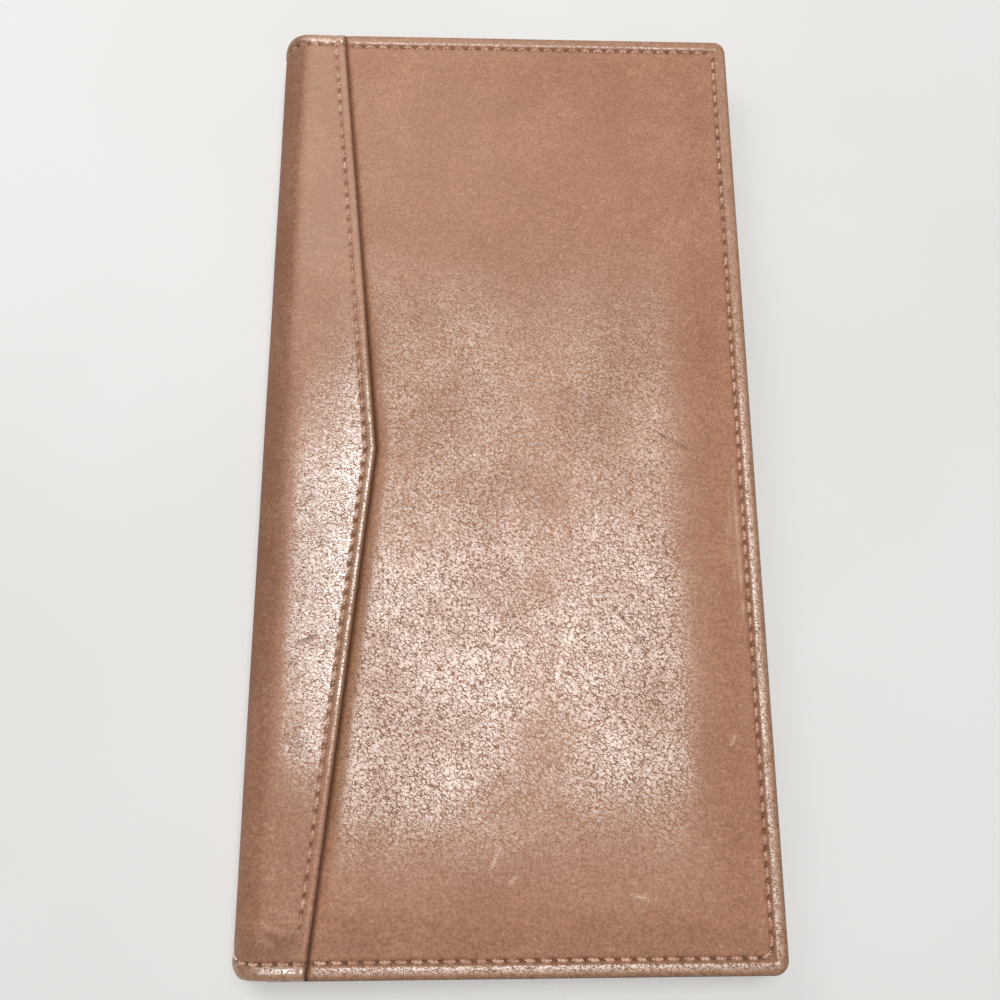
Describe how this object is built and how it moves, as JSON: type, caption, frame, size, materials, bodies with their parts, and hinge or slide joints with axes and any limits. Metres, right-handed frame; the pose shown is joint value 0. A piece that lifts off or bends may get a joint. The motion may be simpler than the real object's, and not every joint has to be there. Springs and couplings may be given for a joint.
{
  "type": "travel document holder",
  "caption": "Bifold leather travel wallet with padded covers, a stitched pointed spine wrap, card slots, a passport pocket and long ticket pockets.",
  "frame": {"origin": "centre of the closed holder's footprint, on the face it lies on", "axes": "+X from the spine to the fore edge, +Y along the spine, +Z from the back cover to the front cover"},
  "size_m": [0.115, 0.224, 0.014],
  "materials": {
    "leather": "pebbled, soft sheen",
    "pocket_leather": "fine grain, matt",
    "thread": "waxed twisted thread",
    "lining": "woven, matt",
    "board": "plain grey-brown board",
    "padding": "thin open foam"
  },
  "bodies": {
    "back_cover": {"back_panel": "leather", "back_padding": "padding", "back_board": "board", "back_lining": "lining", "back_wrap": "leather", "back_wrap_thread": "thread", "back_edge_thread": "thread", "back_inner_thread": "thread", "document_pocket": "pocket_leather", "document_pocket_mouth_thread": "thread", "passport_pocket": "pocket_leather", "passport_pocket_thread": "thread"},
    "spine": {"spine_wrap": "leather", "spine_lining": "lining", "spine_head_thread": "thread", "spine_tail_thread": "thread"},
    "front_cover": {"front_panel": "leather", "front_padding": "padding", "front_board": "board", "front_lining": "lining", "front_wrap": "leather", "front_wrap_thread": "thread", "front_edge_thread": "thread", "front_inner_thread": "thread", "ticket_pocket": "pocket_leather", "ticket_pocket_mouth_thread": "thread", "card_slot_1": "pocket_leather", "card_slot_2": "pocket_leather", "card_slot_3": "pocket_leather", "card_slot_4": "pocket_leather", "card_slot_thread": "thread"}
  },
  "joints": [
    {"name": "spine_fold", "type": "hinge", "parent": "back_cover", "child": "spine", "pos_m": [-0.0556, 0, 0.00189], "axis": [0, -1, 0], "range_deg": [0, 90]},
    {"name": "cover_fold", "type": "hinge", "parent": "spine", "child": "front_cover", "pos_m": [-0.0556, 0, 0.0121], "axis": [0, -1, 0], "range_deg": [0, 90]}
  ],
  "couplings": [
    {"joint": "cover_fold", "follows": "spine_fold", "ratio": 1}
  ]
}
